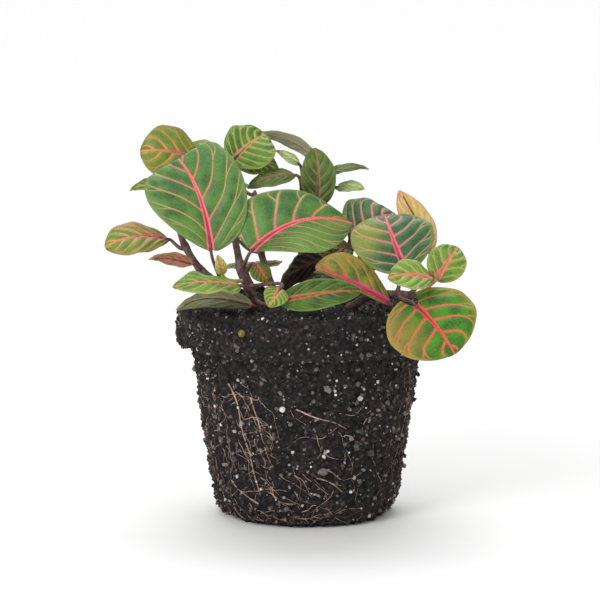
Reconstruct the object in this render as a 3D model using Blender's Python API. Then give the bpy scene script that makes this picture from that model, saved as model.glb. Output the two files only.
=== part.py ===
"""Nerve plant (fittonia) lifted out of its nursery pot, standing on its root ball.

The frame is in metres with +Z up. The origin is the centre of the flat foot of the root ball.
The plant is drawn in millimetres from the crown, which is the centre of the soil's top face.
"""
import math

import bmesh
import bpy
from mathutils import Vector

MM = 0.001

# --- Root ball: the soil keeps the shape of the pot that it grew in ---
COLLAR_RADIUS = 58.5 * MM
COLLAR_HEIGHT = 16.0 * MM
BALL_HEIGHT = 96.0 * MM
WALL_TOP_RADIUS = 52.0 * MM
WALL_FOOT_RADIUS = 42.0 * MM
FOOT_CHAMFER = 8.0 * MM
# The chamfer bulges: its middle point, in shares of the chamfer
CHAMFER_BULGE = (0.35, 0.25)
COLLAR_STEP = 2.5 * MM
TOP_ROUNDING = 3.0 * MM
BALL_SIDES = 48

# --- Plant ---
DRAWN_COLLAR_RADIUS = 58.5 * MM
PLANT_SCALE = COLLAR_RADIUS / DRAWN_COLLAR_RADIUS
STEM_FOOT_RADIUS = 1.9 * MM
STEM_TIP_RADIUS = 1.2 * MM
PETIOLE_RADIUS = 0.95 * MM
PETIOLE_NECK_RADIUS = 0.7 * MM
LEAF_THICKNESS = 0.9 * MM
CLEARANCE = 0.3 * MM
BUD_LENGTH = 8.0 * MM
BUD_RADIUS = 2.0 * MM
BUD_PROFILE = (0.45, 0.85, 1.0, 0.85, 0.5, 0.15)
# How long a stalk keeps its direction where it leaves the stem, and where it meets the blade
STALK_LEAVES_STEM = 0.35
STALK_MEETS_BLADE = 0.30
# The ripples of a wavy margin, in radians along the blade, and how much they lean outwards
RIPPLES = 9.0
RIPPLE_LEAN = 2.0

# --- Roots and grains on the outside of the soil ---
ROOT_RADIUS = 0.45 * MM
GRAIN_RADIUS = 1.5 * MM
PRILL_RADIUS = 1.7 * MM

# How finely the solids are made
STEM_STEP = 6.0 * MM
ROOT_STEP = 4.0 * MM
ROOT_SIDES = 6
STEM_SIDES = 8
# No tube runs along this direction, so its rings are turned by it
TUBE_TURN = Vector((0.31, 0.95, 0.05))

# Outline exponents of a blade: how fast it widens from its base and narrows to its tip
# A leaf with a pair of outlines has one for each side of its midrib, left and right
OUTLINES = {
    "round": (0.48, 0.50),
    "broad": (0.50, 0.62),
    "oval": (0.60, 0.75),
    "pointed": (0.60, 1.05),
    "spoon": (0.72, 0.50),
    "full": (0.60, 0.50),
    "kidney": (0.38, 0.50),
    "square": (0.45, 0.42),
    "shoulder": (0.38, 1.10),
    "late": (0.85, 0.50),
}
# Rings of a blade, rings of its stalk, and steps across the blade
FINENESS = {"large": (10, 4, 8), "medium": (7, 3, 6), "small": (6, 2, 4)}

# Each stem's line, from the soil to its tip, in millimetres from the crown
STEMS = {
    "stem_left": (
        (-33, -16, 0), (-41, -15, 12), (-48, -14, 18), (-54, -12, 27),
        (-57, -8, 34), (-59, -2, 46), (-60, 2, 52),
    ),
    "stem_crown": (
        (-23, -20, 0), (-25, -22, 9), (-29, -22, 19), (-31, -18, 27),
        (-33, -8, 37), (-33, 2, 50), (-33, 8, 58),
    ),
    "stem_tall": ((0, 4, 0), (-2, 4, 20), (-2, 5, 36), (-1, 7, 49), (-1, 9, 60)),
    "stem_middle": ((13, -4, 0), (16, -6, 12), (19, -6, 24), (21, -4, 32)),
    "stem_right": (
        (20, -14, 0), (27, -22, 6), (35, -30, 9), (44, -37, 9.5), (50, -41, 10), (54, -42, 12),
    ),
    "stem_rear_left": ((-14, 22, 0), (-20, 32, 16), (-24, 38, 34), (-24, 42, 48)),
    "stem_rear_right": ((16, 20, 0), (24, 30, 14), (30, 36, 28), (32, 38, 36)),
}

# Each leaf: the stem it grows on, how far up that stem, the base and the tip of its blade, the
# way its face looks, its width, its outline and its fineness. Then how it bends: arch lifts the
# middle of the blade, fold raises both halves, bend curves the midrib sideways, lobe carries the
# margins back past the base, wave ripples the margins.
LEAVES = {
    "leaf_front_left": (
        "stem_left", 0.16, (-42.3, -30, 28), (-61.3, -8, 72.5), (0.0, -0.87, 0.45), 46,
        ("spoon", "square"), "large",
        {"arch": 0.10, "fold": 0.06, "bend": 0.07, "left": 0.97, "right": 0.93},
    ),
    "leaf_front_centre": (
        "stem_crown", 0.30, (-24.3, -31, 28.1), (20.5, -24, 40.8), (0.1, -0.85, 0.5), 43,
        ("shoulder", "late"), "large",
        {"arch": 0.06, "fold": 0.08, "bend": -0.13, "lobe": 0.0, "left": 0.9, "right": 0.78},
    ),
    "leaf_top_left": (
        "stem_left", 0.97, (-47, 6, 65), (-74.1, -4, 71.3), (-0.1, -0.65, 0.75), 29,
        "spoon", "medium", {"arch": 0.10},
    ),
    "leaf_top_hidden": (
        "stem_crown", 0.88, (-36, 17, 67), (-53, 15, 73), (0.0, -0.3, 0.95), 13,
        "oval", "small", {"arch": 0.08},
    ),
    "leaf_left_bud": (
        "stem_left", 0.90, (-64, 0, 53), (-79.9, -2, 53.4), (0.0, -0.4, 0.9), 12,
        "pointed", "small", {"arch": 0.08, "fold": 0.2},
    ),
    "leaf_far_left": (
        "stem_left", 0.55, (-62, -10, 31), (-90, -18, 30), (-0.15, -0.5, 0.85), 25,
        "spoon", "medium", {"arch": 0.10},
    ),
    "leaf_left_pointed": (
        "stem_left", 0.36, (-50.8, -19, 21.2), (-70.3, -22, 24.8), (0.0, 0.5, 0.87), 15,
        "pointed", "small", {"arch": 0.05},
    ),
    "leaf_lower_left": (
        "stem_crown", 0.14, (-29.3, -35.5, 13.3), (-58.1, -46, 15.8), (0.0, -0.30, 0.95), 22,
        "broad", "medium", {"arch": 0.04, "wave": 0.10},
    ),
    "leaf_rim_left": (
        "stem_crown", 0.04, (-24.1, -33, 4.2), (-57.7, -45, 5.9), (0.0, 0.72, 0.69), 14,
        "broad", "medium", {"arch": 0.12},
    ),
    "leaf_top_middle": (
        "stem_crown", 0.97, (-31.8, 2, 67.1), (-18.7, 7, 77.7), (0.0, -0.7, 0.7), 24,
        "round", "large",
        {"arch": 0.08, "fold": 0.10, "lobe": 0.12, "wave": 0.06, "left": 0.75, "right": 1.15},
    ),
    "leaf_arched": (
        "stem_tall", 0.98, (8.3, 12, 62.2), (-23.8, 13, 78.1), (0.1, 0.45, 0.9), 15,
        "oval", "medium", {"arch": 0.12},
    ),
    "leaf_tall_front": (
        "stem_tall", 0.72, (5, 1, 45.8), (4.5, 5, 71), (0.3, -0.85, 0.4), 16,
        "broad", "medium", {"arch": 0.10, "fold": 0.10},
    ),
    "leaf_tall_right": (
        "stem_tall", 0.74, (7.3, 8, 44.6), (11.4, 9, 62.4), (0.2, -0.8, 0.5), 8,
        "oval", "small", {"arch": 0.08},
    ),
    "leaf_tall_pale": (
        "stem_tall", 0.90, (-3.2, 4, 63.8), (-13.7, 7, 70.4), (0.2, -0.5, 0.85), 7,
        "pointed", "small", {"arch": 0.05},
    ),
    "leaf_middle_back": (
        "stem_crown", 0.99, (-30.7, 13, 65.3), (-12.8, 12, 61.2), (0.0, 0.5, 0.85), 12,
        "oval", "small", {"arch": 0.08},
    ),
    "leaf_middle_front": (
        "stem_tall", 0.80, (-5, -2.5, 59.4), (-26.7, -4, 54.9), (0.1, -0.45, 0.9), 14,
        "oval", "small", {"arch": 0.08},
    ),
    "leaf_back_pointed": (
        "stem_tall", 0.86, (8.8, 17, 58.9), (28.4, 12, 62.2), (0.0, -0.3, 0.95), 11,
        "pointed", "small", {"arch": 0.05},
    ),
    "leaf_back_pale": (
        "stem_tall", 0.78, (13.8, 13.5, 52.3), (26.5, 8.5, 52.8), (0.0, -0.5, 0.85), 9,
        "oval", "small", {"arch": 0.08},
    ),
    "leaf_right_back": (
        "stem_middle", 0.95, (19.9, -8, 33.5), (41, 2, 42), (0.0, -0.6, 0.8), 34,
        "broad", "medium", {"arch": 0.10},
    ),
    "leaf_right_round": (
        "stem_right", 0.66, (42.7, -34, 23.1), (35.5, -14, 43.3), (-0.05, -0.62, 0.78), 37.5,
        "round", "large", {"arch": 0.08, "fold": 0.05, "bend": -0.03, "lobe": 0.18},
    ),
    "leaf_right_upright": (
        "stem_right", 0.80, (55.9, -12, 24.5), (41.3, -2, 51.1), (-0.6, 0.65, 0.4), 17,
        "oval", "medium", {"arch": -0.08},
    ),
    "leaf_right_upper": (
        "stem_right", 0.94, (57.4, -38, 16.1), (67.6, -28, 30), (0.2, -0.75, 0.63), 17.5,
        "broad", "medium", {"arch": 0.08, "fold": 0.10},
    ),
    "leaf_right_inner": (
        "stem_right", 0.99, (54.1, -51, 18.7), (36, -55, 20.1), (0.0, -0.6, 0.8), 19,
        "broad", "medium", {"arch": 0.08, "fold": 0.10},
    ),
    "leaf_right_low": (
        "stem_right", 0.72, (47.9, -53, 7), (64.4, -65.5, -11.7), (0.1, -0.8, 0.6), 43,
        "kidney", "large", {"arch": 0.08, "lobe": 0.2},
    ),
    "leaf_centre_folded": (
        "stem_right", 0.42, (37.6, -35, 4.9), (5, -40, 22.6), (-0.2, -0.75, 0.6), 22,
        ("oval", "late"), "medium", {"arch": 0.05, "fold": 0.15, "left": 0.25, "right": 1.05},
    ),
    "leaf_low_centre": (
        "stem_crown", 0.08, (-11.5, -49.5, 8.3), (23.4, -54, 14.2), (0.0, -0.85, 0.5), 14.5,
        "broad", "large", {"arch": 0.05, "wave": 0.06},
    ),
    "leaf_low_small": (
        "stem_crown", 0.17, (-11, -49, 14), (-16, -57, 7.5), (0.0, -0.9, 0.4), 11,
        "broad", "small", {"arch": 0.08},
    ),
    "leaf_shade_right": (
        "stem_middle", 0.70, (7, -10, 22), (-13, -22, 12), (-0.4, 0.6, 0.7), 24,
        "broad", "medium", {"arch": 0.08},
    ),
    "leaf_shade_left": (
        "stem_crown", 0.26, (-23, -29, 22), (-17, -33, 14.5), (0.3, -0.8, 0.5), 10,
        "oval", "small", {"arch": 0.05},
    ),
    "leaf_shade_small": (
        "stem_middle", 0.76, (14, -20, 24), (5, -24, 28), (0.0, -0.8, 0.6), 6,
        "oval", "small", {},
    ),
    "leaf_shade_back": (
        "stem_middle", 0.84, (21, -16, 27), (10, -22, 30), (0.0, -0.6, 0.8), 14,
        "oval", "small", {},
    ),
    "bract_dry": (
        "stem_crown", 0.22, (-37, -29.5, 17), (-39, -33.5, 26), (0.1, -0.9, 0.3), 5.5,
        "oval", "small", {"arch": 0.10},
    ),
    "leaf_rear_left_low": (
        "stem_rear_left", 0.26, (-24, 42, 11), (-26, 66, 8), (-0.1, 0.4, 0.9), 28,
        "broad", "medium", {"arch": 0.12},
    ),
    "leaf_rear_left_mid": (
        "stem_rear_left", 0.46, (-33, 40, 26), (-52, 54, 31), (-0.2, 0.4, 0.9), 26,
        "broad", "medium", {"arch": 0.10},
    ),
    "leaf_rear_left_high": (
        "stem_rear_left", 0.68, (-34, 38, 36), (-62, 38, 46), (-0.3, 0.4, 0.85), 30,
        "broad", "medium", {"arch": 0.12},
    ),
    "leaf_rear_centre": (
        "stem_rear_left", 0.60, (-16, 46, 33), (-7, 70, 36), (0.1, 0.4, 0.9), 32,
        "round", "medium", {"arch": 0.12, "lobe": 0.12},
    ),
    "leaf_rear_top": (
        "stem_rear_left", 0.96, (-31, 47, 50), (-44, 62, 53), (-0.1, 0.5, 0.86), 22,
        "broad", "medium", {"arch": 0.10},
    ),
    "leaf_rear_inner": (
        "stem_rear_left", 0.82, (-17, 39, 40), (-2, 32, 44), (0.1, 0.2, 0.95), 18,
        "oval", "small", {"arch": 0.10},
    ),
    "leaf_rear_right_high": (
        "stem_rear_right", 0.90, (36, 42, 27), (54, 56, 26), (0.3, 0.4, 0.85), 30,
        "round", "medium", {"arch": 0.12, "lobe": 0.10},
    ),
    "leaf_rear_right_low": (
        "stem_rear_right", 0.40, (33, 33, 12), (55, 42, 6), (0.4, 0.3, 0.85), 26,
        "broad", "medium", {"arch": 0.10},
    ),
    "leaf_rear_right_inner": (
        "stem_rear_right", 0.84, (22, 40, 32), (8, 52, 33), (-0.2, 0.3, 0.9), 22,
        "broad", "medium", {"arch": 0.10},
    ),
    "leaf_rear_low": (
        "stem_rear_right", 0.22, (10, 38, 9), (6, 60, 3), (0.0, 0.4, 0.9), 26,
        "broad", "medium", {"arch": 0.12},
    ),
}
DEEP_LEAVES = ("leaf_front_left", "leaf_front_centre", "leaf_right_round", "leaf_right_back")
LIME_LEAVES = ("leaf_right_upper", "leaf_right_inner", "leaf_back_pale", "leaf_lower_left")
RUSSET_LEAVES = ("leaf_left_pointed", "leaf_right_upright", "leaf_shade_back")

# Main roots on the wall of the soil: angle round the ball in degrees (0 faces -Y and rising
# turns towards +X), and height as a share of the wall, from its foot (0) to the collar (1)
ROOTS = {
    "root_left_long": (
        (-42, 0.83), (-38, 0.69), (-37, 0.52), (-33, 0.37), (-31, 0.23), (-28, 0.10),
    ),
    "root_left_short": ((-30, 0.75), (-27, 0.60), (-24, 0.46), (-21, 0.32)),
    "root_left_foot": ((-50, 0.17), (-44, 0.12), (-36, 0.07), (-30, 0.04)),
    "root_front_slant": ((-5, 0.69), (5, 0.63), (15, 0.60), (22, 0.55)),
    "root_front_foot": ((6, 0.23), (14, 0.20), (22, 0.13)),
    "root_right_edge": ((66, 0.89), (70, 0.72), (68, 0.55), (67, 0.37), (64, 0.20)),
}
GRAINS = {"perlite_front": (-12, 0.69), "perlite_right": (28, 0.75)}
PRILL_ANGLE = -28
PRILL_BELOW_TOP = 5.5 * MM


def clear_scene():
    for obj in list(bpy.data.objects):
        bpy.data.objects.remove(obj, do_unlink=True)


def material(name, colour, roughness):
    made = bpy.data.materials.new(name)
    made.use_nodes = True
    shader = made.node_tree.nodes["Principled BSDF"]
    shader.inputs["Base Color"].default_value = (*colour, 1.0)
    shader.inputs["Roughness"].default_value = roughness
    shader.inputs["Metallic"].default_value = 0.0
    return made


def add_object(name, data, finish):
    data.materials.append(finish)
    obj = bpy.data.objects.new(name, data)
    bpy.context.scene.collection.objects.link(obj)
    return obj


def smooth_line(points, step):
    """Points about one step apart on a Catmull-Rom curve through the given points."""
    line = [points[0]]
    for i in range(len(points) - 1):
        p1, p2 = points[i], points[i + 1]
        p0 = points[i - 1] if i else p1 * 2 - p2
        p3 = points[i + 2] if i + 2 < len(points) else p2 * 2 - p1
        count = max(1, round((p2 - p1).length / step))
        for j in range(1, count + 1):
            t = j / count
            line.append(
                0.5 * (2 * p1 + (p2 - p0) * t + (2 * p0 - 5 * p1 + 4 * p2 - p3) * t ** 2
                       + (3 * p1 - p0 - 3 * p2 + p3) * t ** 3)
            )
    return line


def along(line, share):
    """The point and the direction at a share of a line's length."""
    lengths = [(b - a).length for a, b in zip(line, line[1:])]
    left = share * sum(lengths)
    for a, b, length in zip(line, line[1:], lengths):
        if left <= length:
            return a.lerp(b, left / length), (b - a).normalized()
        left -= length
    return line[-1].copy(), (line[-1] - line[-2]).normalized()


def from_crown(point):
    """A place drawn in millimetres from the crown, in the part's frame."""
    x, y, z = point
    return Vector((x * MM * PLANT_SCALE, y * MM * PLANT_SCALE, BALL_HEIGHT + z * MM * PLANT_SCALE))


def loft(name, rings):
    """One closed mesh through rings that all have the same number of points."""
    mesh = bmesh.new()
    loops = [[mesh.verts.new(point) for point in ring] for ring in rings]
    count = len(rings[0])
    for lower, upper in zip(loops, loops[1:]):
        for i in range(count):
            j = (i + 1) % count
            mesh.faces.new((lower[i], lower[j], upper[j], upper[i]))
    mesh.faces.new(loops[0][::-1])
    mesh.faces.new(loops[-1])
    bmesh.ops.recalc_face_normals(mesh, faces=mesh.faces)
    data = bpy.data.meshes.new(name)
    mesh.to_mesh(data)
    mesh.free()
    data.shade_smooth()
    return data


def ring_round(centre, side, up, radius, half_count):
    """A round ring, wound as ring_flat winds a blade's."""
    ring = []
    for i in range(2 * half_count):
        turn = math.pi * i / half_count
        ring.append(centre - side * radius * math.cos(turn) + up * radius * math.sin(turn))
    return ring


# --- Root ball ---

def ball_profile():
    """Radius and height down the outer side of the soil, from the top face to the foot."""
    collar_foot = BALL_HEIGHT - COLLAR_HEIGHT
    return (
        (COLLAR_RADIUS - TOP_ROUNDING, BALL_HEIGHT),
        (COLLAR_RADIUS, BALL_HEIGHT - TOP_ROUNDING),
        (COLLAR_RADIUS, collar_foot),
        (WALL_TOP_RADIUS, collar_foot - COLLAR_STEP),
        (WALL_FOOT_RADIUS, FOOT_CHAMFER),
        (WALL_FOOT_RADIUS - FOOT_CHAMFER * CHAMFER_BULGE[0], FOOT_CHAMFER * CHAMFER_BULGE[1]),
        (WALL_FOOT_RADIUS - FOOT_CHAMFER, 0.0),
    )


def ball_radius(height):
    profile = ball_profile()
    for (r1, z1), (r2, z2) in zip(profile, profile[1:]):
        if z2 <= height <= z1:
            return r2 + (r1 - r2) * (height - z2) / (z1 - z2)
    return profile[0][0]


def build_root_ball(finish):
    rings = []
    for radius, height in reversed(ball_profile()):
        turns = [2 * math.pi * i / BALL_SIDES for i in range(BALL_SIDES)]
        rings.append([Vector((radius * math.cos(t), radius * math.sin(t), height)) for t in turns])
    ball = add_object("root_ball", loft("root_ball", rings), finish)
    ball.data.set_sharp_from_angle(angle=math.radians(35))


def wall_height(share):
    """A height on the tapered wall, from its foot (0) to the collar (1)."""
    return FOOT_CHAMFER + share * (BALL_HEIGHT - COLLAR_HEIGHT - COLLAR_STEP - FOOT_CHAMFER)


def on_ball(angle_deg, height, out):
    """A place on the soil's side, out from its surface."""
    angle = math.radians(angle_deg)
    radius = ball_radius(height) + out
    return Vector((radius * math.sin(angle), -radius * math.cos(angle), height))


def outside(point, out):
    """The same angle and height, but out from the soil's side."""
    return on_ball(math.degrees(math.atan2(point.x, -point.y)), point.z, out)


def build_roots(finish):
    out = ROOT_RADIUS + CLEARANCE
    for name, route in ROOTS.items():
        places = [on_ball(angle, wall_height(share), out) for angle, share in route]
        line = [outside(point, out) for point in smooth_line(places, ROOT_STEP)]
        add_tube(name, line, [ROOT_RADIUS] * len(line), ROOT_SIDES, finish)


def build_grains(perlite, prill):
    for name, (angle, share) in GRAINS.items():
        add_grain(name, angle, wall_height(share), GRAIN_RADIUS, perlite)
    prill_height = BALL_HEIGHT - PRILL_BELOW_TOP
    add_grain("fertiliser_prill", PRILL_ANGLE, prill_height, PRILL_RADIUS, prill)


def add_grain(name, angle, height, radius, finish):
    mesh = bmesh.new()
    bmesh.ops.create_icosphere(mesh, subdivisions=1, radius=radius)
    data = bpy.data.meshes.new(name)
    mesh.to_mesh(data)
    mesh.free()
    grain = add_object(name, data, finish)
    grain.location = on_ball(angle, height, radius + CLEARANCE)


# --- Stems and leaves ---

def add_tube(name, line, radii, sides, finish, flat_foot=False):
    """A round rod along a line. A flat foot stands level on the soil."""
    rings = []
    for i, point in enumerate(line):
        ahead = line[min(i + 1, len(line) - 1)] - line[max(i - 1, 0)]
        if i == 0 and flat_foot:
            ahead = Vector((0.0, 0.0, 1.0))
        side = ahead.cross(TUBE_TURN).normalized()
        up = side.cross(ahead).normalized()
        rings.append(ring_round(point, side, up, radii[i], sides // 2))
    return add_object(name, loft(name, rings), finish)


def stem_radius(share):
    return STEM_FOOT_RADIUS + (STEM_TIP_RADIUS - STEM_FOOT_RADIUS) * share


def build_stems(finish):
    """Makes the stems, and returns each one's line for the leaves to grow from."""
    lines = {}
    for name, points in STEMS.items():
        points = [from_crown(p) for p in points]
        points[0].z += CLEARANCE
        lines[name] = line = smooth_line(points, STEM_STEP)
        last = len(line) - 1
        radii = [stem_radius(i / last) for i in range(last + 1)]
        add_tube(name, line, radii, STEM_SIDES, finish, flat_foot=True)
    return lines


def build_bud(tip, finish):
    """The folded new leaves on the end of the creeping shoot."""
    start = tip + Vector((0.0, 0.0, STEM_TIP_RADIUS + CLEARANCE))
    last = len(BUD_PROFILE) - 1
    line = [start + Vector((0.0, 0.0, BUD_LENGTH * i / last)) for i in range(last + 1)]
    radii = [BUD_RADIUS * share for share in BUD_PROFILE]
    add_tube("bud_right", line, radii, STEM_SIDES, finish)


def petiole_line(foot, outward, base, into, count):
    """A leaf's stalk: it leaves the stem square, and meets the blade along the midrib."""
    reach = (base - foot).length
    first = foot + outward * reach * STALK_LEAVES_STEM
    last = base - into * reach * STALK_MEETS_BLADE
    line = []
    for i in range(count):
        t = i / count
        line.append(
            foot * (1 - t) ** 3 + first * 3 * t * (1 - t) ** 2
            + last * 3 * t ** 2 * (1 - t) + base * t ** 3
        )
    return line


def blade_point(blade, u, v, lift):
    """A point of a blade: u runs from base to tip, v from one margin (-1) to the other (1)."""
    base, chord, side, face, half_width, outline, bends = blade
    length = chord.length
    hump = 4 * u * (1 - u)
    centre = base + chord * u + face * (bends.get("arch", 0) * length * hump)
    centre += side * (bends.get("bend", 0) * length * hump)
    slope = 4 * (1 - 2 * u)
    ahead = chord + face * (bends.get("arch", 0) * length * slope)
    ahead += side * (bends.get("bend", 0) * length * slope)
    across = ahead.cross(face).normalized()
    normal = across.cross(ahead).normalized()
    rise, fall = outline[1] if v > 0 else outline[0]
    peak = rise / (rise + fall)
    share = bends.get("right" if v > 0 else "left", 1)
    shape = (u ** rise * (1 - u) ** fall) / (peak ** rise * (1 - peak) ** fall)
    width = half_width * share * shape
    out = abs(v)
    point = centre + across * (width * v)
    point += normal * (width * bends.get("fold", 0) * out)
    point += normal * (bends.get("wave", 0) * width * out ** 2 * math.sin(RIPPLES * u + RIPPLE_LEAN * v))
    point -= chord * (bends.get("lobe", 0) * out ** 2 * (1 - u) ** 4)
    return point + normal * lift * (1 - out ** 2)


def build_leaf(name, row, lines, finish):
    stem, share, base, tip, face, width, outline, fineness, bends = row
    blade_rings, stalk_rings, steps = FINENESS[fineness]
    base, tip = from_crown(base), from_crown(tip)
    chord = tip - base
    face = Vector(face)
    face = (face - chord * face.dot(chord) / chord.length_squared).normalized()
    side = chord.cross(face).normalized()
    halves = (outline, outline) if isinstance(outline, str) else outline
    shape = [OUTLINES[half] for half in halves]
    blade = (base, chord, side, face, width * MM * PLANT_SCALE / 2, shape, bends)

    start, climb = along(lines[stem], share)
    outward = base - start
    outward = (outward - climb * outward.dot(climb)).normalized()
    foot = start + outward * (stem_radius(share) + CLEARANCE)
    into = chord + face * (4 * bends.get("arch", 0) * chord.length)
    into = (into + side * (4 * bends.get("bend", 0) * chord.length)).normalized()
    line = petiole_line(foot, outward, base, into, stalk_rings)

    rings = []
    for i, point in enumerate(line):
        ahead = (line[i + 1] if i + 1 < len(line) else base) - point
        if i == 0:
            ahead = outward
        across = ahead.cross(face).normalized()
        normal = across.cross(ahead).normalized()
        radius = PETIOLE_RADIUS + (PETIOLE_NECK_RADIUS - PETIOLE_RADIUS) * i / len(line)
        rings.append(ring_round(point, across, normal, radius, steps))
    for i in range(1, blade_rings):
        u = (1 - math.cos(math.pi * i / blade_rings)) / 2
        upper = [blade_point(blade, u, 2 * j / steps - 1, LEAF_THICKNESS / 2)
                 for j in range(steps + 1)]
        lower = [blade_point(blade, u, 1 - 2 * j / steps, -LEAF_THICKNESS / 2)
                 for j in range(1, steps)]
        rings.append(upper + lower)
    add_object(name, loft(name, rings), finish)


def main():
    clear_scene()
    soil = material("soil", (0.035, 0.028, 0.028), 0.95)
    root = material("root", (0.55, 0.42, 0.30), 0.7)
    perlite = material("perlite", (0.85, 0.84, 0.82), 0.85)
    prill = material("prill", (0.55, 0.42, 0.08), 0.5)
    stem = material("stem", (0.16, 0.08, 0.09), 0.6)
    leaf = material("leaf", (0.12, 0.28, 0.06), 0.45)
    deep = material("leaf_deep", (0.05, 0.16, 0.05), 0.4)
    lime = material("leaf_lime", (0.30, 0.42, 0.08), 0.45)
    russet = material("leaf_russet", (0.30, 0.14, 0.08), 0.5)
    shades = {name: deep for name in DEEP_LEAVES}
    shades.update({name: lime for name in LIME_LEAVES})
    shades.update({name: russet for name in RUSSET_LEAVES})
    shades["bract_dry"] = material("husk", (0.75, 0.62, 0.35), 0.7)
    build_root_ball(soil)
    build_roots(root)
    build_grains(perlite, prill)
    lines = build_stems(stem)
    build_bud(lines["stem_right"][-1], lime)
    for name, row in LEAVES.items():
        build_leaf(name, row, lines, shades.get(name, leaf))


main()
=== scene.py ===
"""Nerve plant (fittonia) on its root ball: the fine surface and the finishes round the CAD frame.

Lengths are in metres, and MM turns a maker's millimetres into them. The plant is drawn in
millimetres from the crown, which is the centre of the soil's top face, as the CAD draws it.
"""

import math
from dataclasses import dataclass

import bpy
import numpy as np
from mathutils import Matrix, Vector
from mathutils.bvhtree import BVHTree


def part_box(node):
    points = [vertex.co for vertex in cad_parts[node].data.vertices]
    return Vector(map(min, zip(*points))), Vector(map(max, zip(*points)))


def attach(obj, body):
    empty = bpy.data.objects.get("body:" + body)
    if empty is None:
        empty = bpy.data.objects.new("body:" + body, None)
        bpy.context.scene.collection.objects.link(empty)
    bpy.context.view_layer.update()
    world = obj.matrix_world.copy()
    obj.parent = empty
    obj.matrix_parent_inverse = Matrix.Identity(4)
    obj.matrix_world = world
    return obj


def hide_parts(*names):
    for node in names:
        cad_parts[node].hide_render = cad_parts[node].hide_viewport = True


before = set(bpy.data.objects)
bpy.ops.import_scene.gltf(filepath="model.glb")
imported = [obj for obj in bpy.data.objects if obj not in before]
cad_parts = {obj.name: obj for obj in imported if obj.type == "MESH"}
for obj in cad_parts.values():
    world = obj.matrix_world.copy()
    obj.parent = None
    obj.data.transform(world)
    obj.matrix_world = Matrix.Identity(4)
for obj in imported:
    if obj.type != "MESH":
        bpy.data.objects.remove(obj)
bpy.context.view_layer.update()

MM = 0.001
BALL_LOW, BALL_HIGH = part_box("root_ball")
CROWN = np.array(((BALL_LOW.x + BALL_HIGH.x) / 2, (BALL_LOW.y + BALL_HIGH.y) / 2, BALL_HIGH.z))
COLLAR_RADIUS = (BALL_HIGH.x - BALL_LOW.x) / 2
BALL_HEIGHT = BALL_HIGH.z - BALL_LOW.z

# --- Stems and stalks ---
STEM_FOOT_RADIUS = 1.9 * MM
STEM_TIP_RADIUS = 1.2 * MM
STALK_RADIUS = 0.95 * MM
STALK_NECK_RADIUS = 0.7 * MM
# How long a stalk keeps its direction where it leaves the stem, and where it meets the blade
STALK_LEAVES_STEM = 0.35
STALK_MEETS_BLADE = 0.30
# The stalk runs on under the blade as its midrib, down to this radius
RIB_TIP_RADIUS = 0.22 * MM
RIB_END = 0.9
STALK_RINGS = 22
RIB_RINGS = 24
# How much thicker a stem or stalk is at its foot, and a stem where a leaf leaves it
FOOT_FLARE = 0.5
JOINT_SWELLING = 0.28
STEM_SINK = 3.0 * MM
TUBE_SMOOTHNESS = 3

# --- Blades ---
BLADE_THICKNESS = 0.4 * MM
# A blade starts and ends this short of the points of its outline, in shares of its length
BASE_TRIM = 0.003
TIP_TRIM = 0.00003
# The waves of a wavy blade, in radians along it, and how much they lean outwards
RIPPLES = 9.0
RIPPLE_LEAN = 2.0
# Right-hand side veins start this far, in pairs, from the left-hand ones
STAGGER = 0.42
# A side vein forks this far out, and at the margin its branch is this share of a gap away
FORK_START = 0.6
FORK_SPREAD = 0.42
# Slant of the side veins, which sets how wide the strips between them are
VEIN_SLANT = 0.75
VEIN_DEPTH = 0.20 * MM
RIB_DEPTH = 0.35 * MM
PUFF_HEIGHT = 0.45 * MM
PUCKER_HEIGHT = 0.05 * MM
# Half widths of the sunk veins and of the sunk midrib at the blade's base, in millimetres
VEIN_GROOVE_HALF = 0.55
RIB_GROOVE_HALF = 1.3
TIP_CURL = 0.06
MARGIN_ROLL = 0.05
MARGIN_WAVES = 17.0
# A leaf narrower than this, in millimetres, has a lower ruffle
FULL_RUFFLE_WIDTH = 30
# Each blade reads its own stretch of the net pattern, this many millimetres from the last one
NET_OFFSET = 61.0

# --- Nerve pattern: widths and distances in millimetres, soft edges from outside to inside ---
VEIN_HALF_WIDTHS = (0.42, 0.24)
VEIN_EDGE = (0.16, -0.10)
FORK_THINNER = 0.12
HALO_REACH = 0.9
HALO_STRENGTH = 0.34
RIB_BASE_EXTRA = 1.25
RIB_HALF_WIDTH = 0.36
RIB_TAPER = 1.3
RIB_EDGE = (0.22, -0.12)
GROOVE_HALF_WIDTHS = (0.62, 0.05)
GROOVE_END = (0.66, 0.42)
GROOVE_EDGE = (0.28, -0.10)
NET_SCALE = 0.58
MOTTLE_SCALE = 160.0
FRECKLE_SCALE = 1400.0

# --- Soil, grains and roots ---
COLLAR_HEIGHT = 16.0 * MM
COLLAR_STEP = 2.5 * MM
FOOT_CHAMFER = 8.0 * MM
SOIL_GRID = 0.78 * MM
# Broad swells, crumbs and fine grain: the texture, its size and how far it moves the face
SOIL_ROUGHNESS = (
    ("CLOUDS", 12 * MM, 3.2 * MM),
    ("VORONOI", 2.6 * MM, -2.6 * MM),
    ("CLOUDS", 1.2 * MM, 1.8 * MM),
)
CRUMB_COUNT = 3600
CRUMB_RADIUS = 0.70 * MM
MOST_CRUMB_RADIUS = 2.2 * MM
PERLITE_COUNT = 900
PERLITE_RADIUS = 0.40 * MM
MOST_PERLITE_RADIUS = 1.3 * MM
ROOT_RADIUS = 0.32 * MM
FINE_ROOT_RADIUS = 0.14 * MM
# How much a root's heading swings at each step, in radians
BRANCH_WANDER = 0.25
WEB_WANDER = 0.36
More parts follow.
